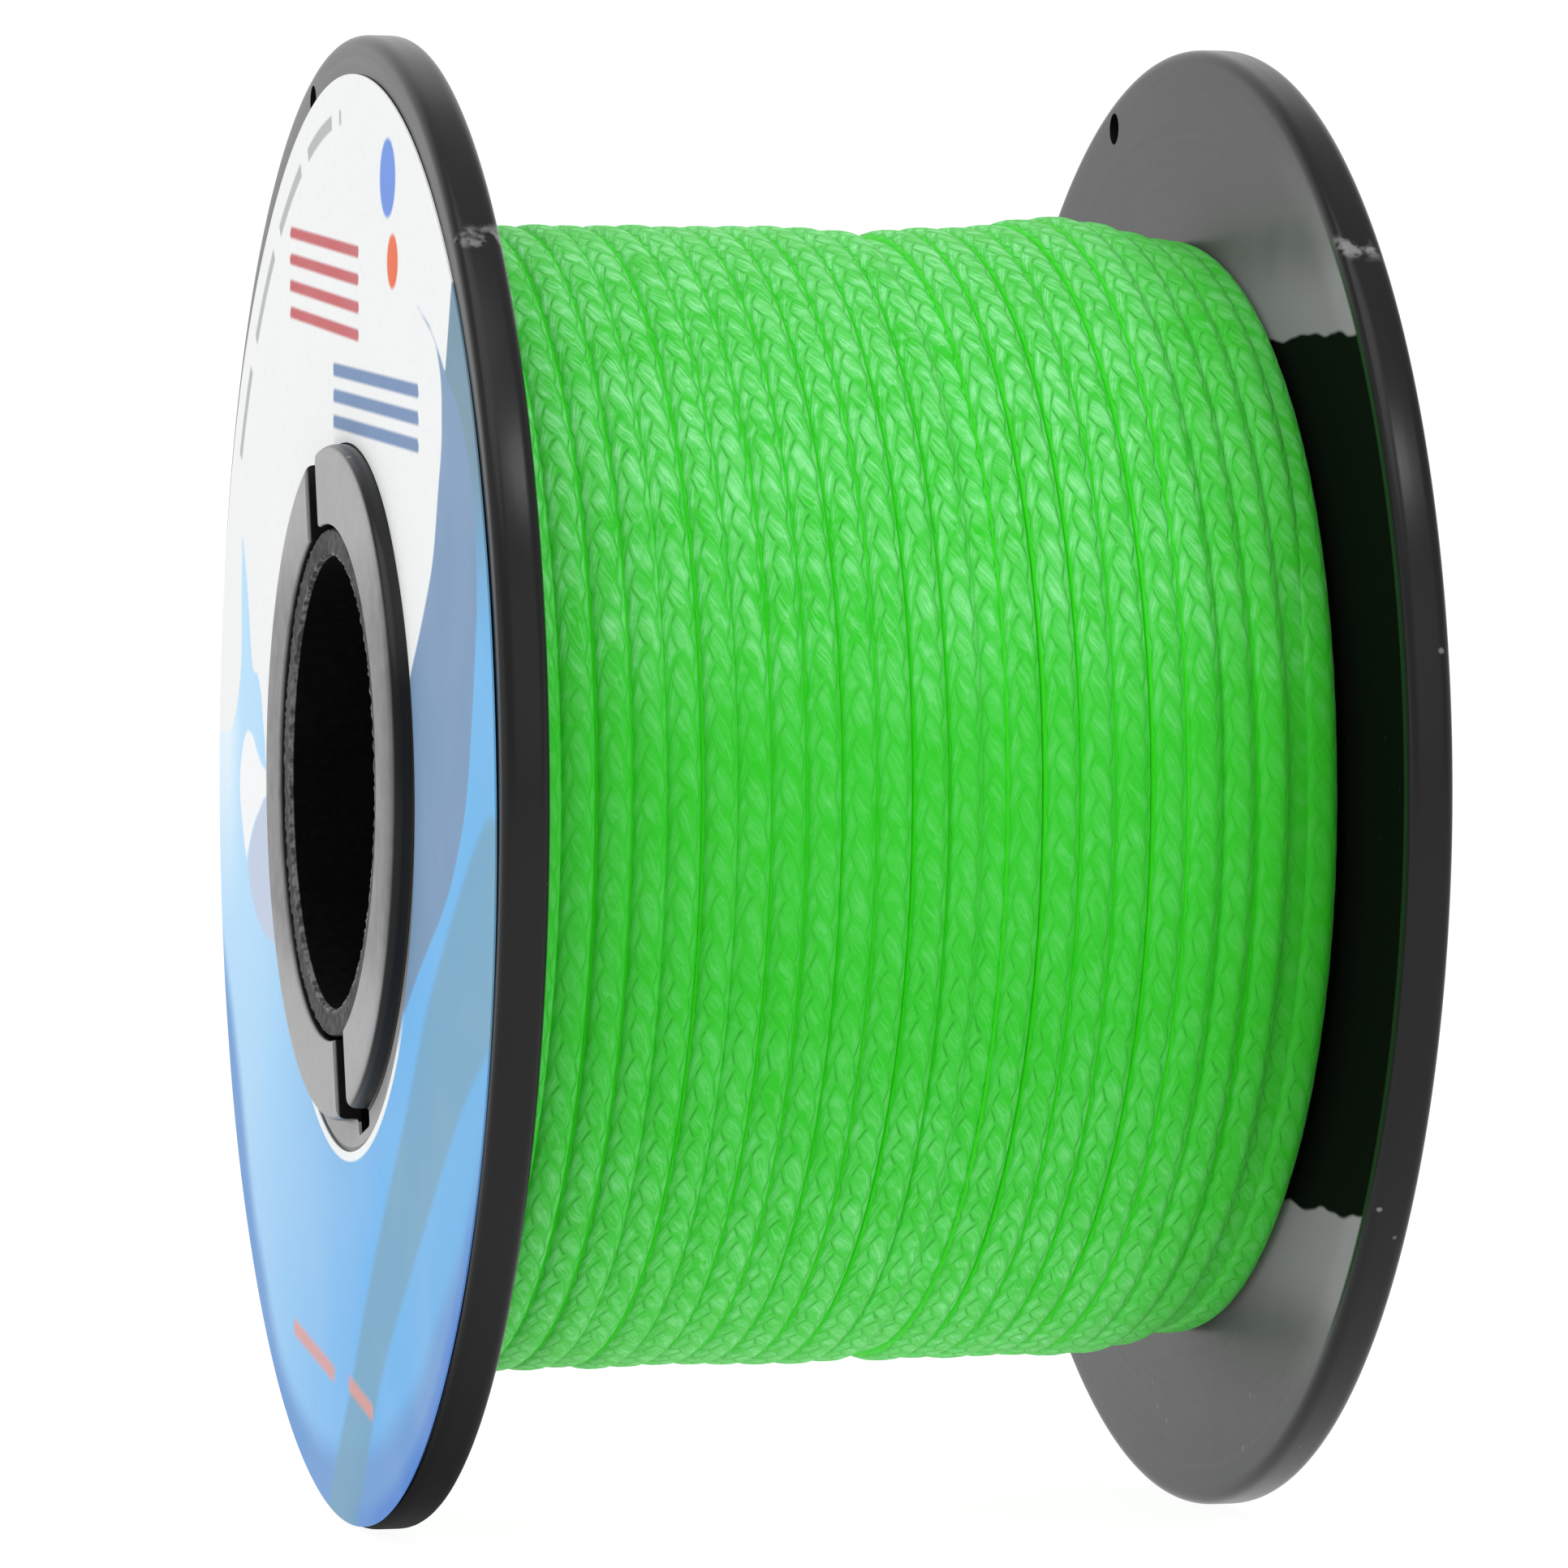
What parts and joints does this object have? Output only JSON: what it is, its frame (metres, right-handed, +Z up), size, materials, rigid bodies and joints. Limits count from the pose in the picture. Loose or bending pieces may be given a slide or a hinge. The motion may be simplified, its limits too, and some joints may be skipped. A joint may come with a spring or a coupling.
{
  "type": "fishing line spool",
  "caption": "Round plastic spool with a through bore and slotted hub rings, fully wound with thick bright green braided fishing line, and a printed label on one flange.",
  "frame": {"origin": "middle of the spool, on its axis, halfway between the two flanges", "axes": "X along the spool's axis with the labelled flange towards -X, +Z up, standing on the rims of both flanges"},
  "size_m": [0.0642, 0.1, 0.1],
  "materials": {
    "black_plastic": "moulded black plastic, glossy with fine handling scratches",
    "drum_plastic": "plain moulded black plastic, satin",
    "core_tube": "dark grey extruded tube with a rough sawn end",
    "printed_label": "printed self-adhesive film, semi-gloss, white with blue fields",
    "tape": "plain adhesive tape",
    "green_braid": "bright green hollow braid of soft untwisted fibre, slight sheen"
  },
  "bodies": {
    "root": {"front_flange": "black_plastic", "rear_flange": "black_plastic", "drum": "drum_plastic", "core_tube": "core_tube", "front_label": "printed_label", "line_start_tape": "tape", "wound_line": "green_braid"}
  },
  "joints": []
}
